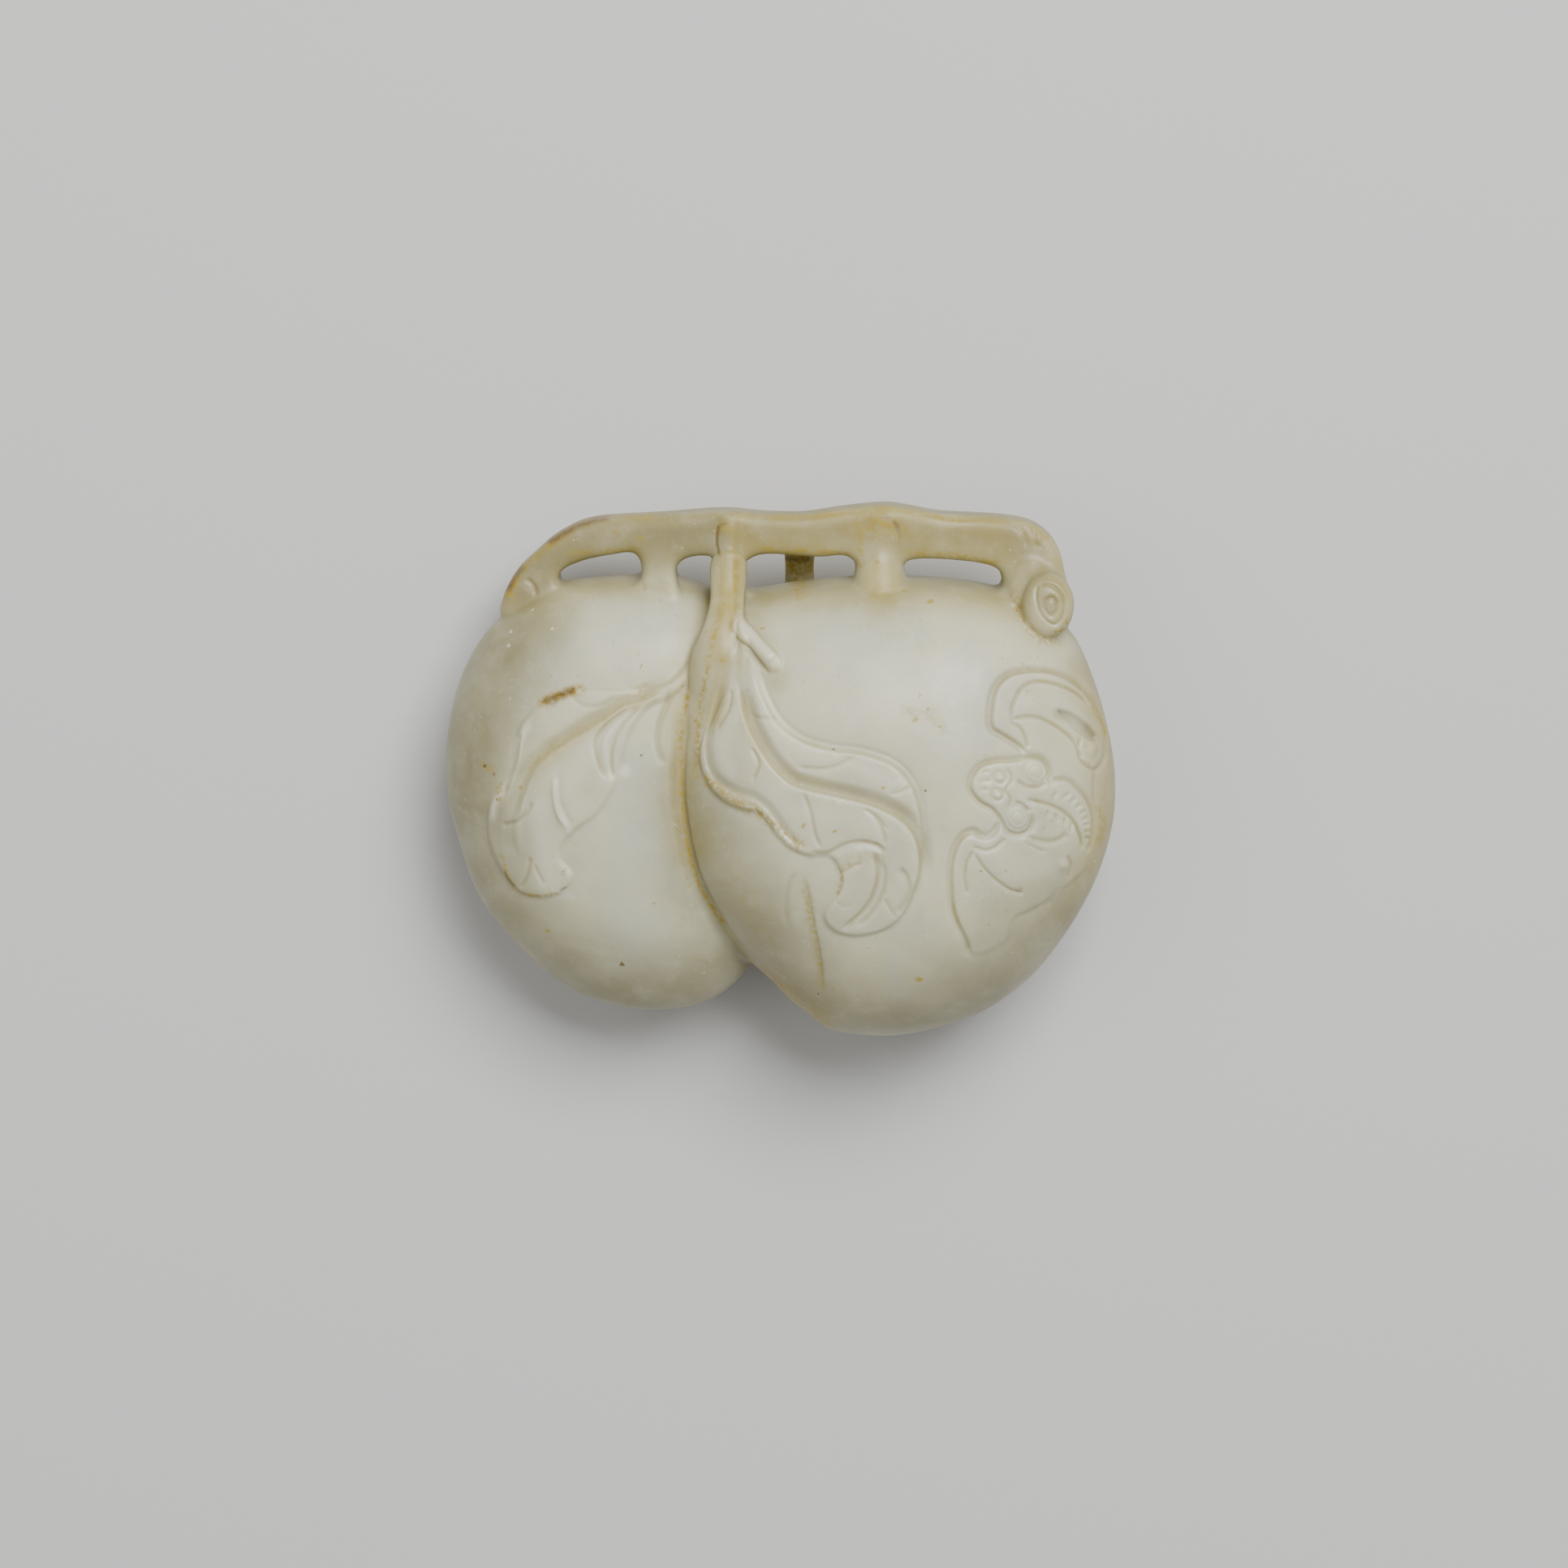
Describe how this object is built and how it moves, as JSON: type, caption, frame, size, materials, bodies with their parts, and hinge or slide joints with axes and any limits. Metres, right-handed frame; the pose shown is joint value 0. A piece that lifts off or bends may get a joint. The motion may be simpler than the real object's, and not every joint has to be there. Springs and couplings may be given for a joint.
{
  "type": "jade carving of two peaches",
  "caption": "Small carved jade ornament: peaches side by side under an openwork branch, with leaves and a bat in low relief; lies on its back.",
  "frame": {"origin": "centre of the bounding box's underside, where the carving rests on its back", "axes": "+Z out of the carved front, +Y towards the openwork branch, +X to the right as seen from the front"},
  "size_m": [0.0602, 0.048, 0.0242],
  "materials": {
    "jade": "softly polished nephrite, pale grey-green to cream with honey and brown stains"
  },
  "bodies": {
    "root": {"double_peach_carving": "jade"}
  },
  "joints": []
}
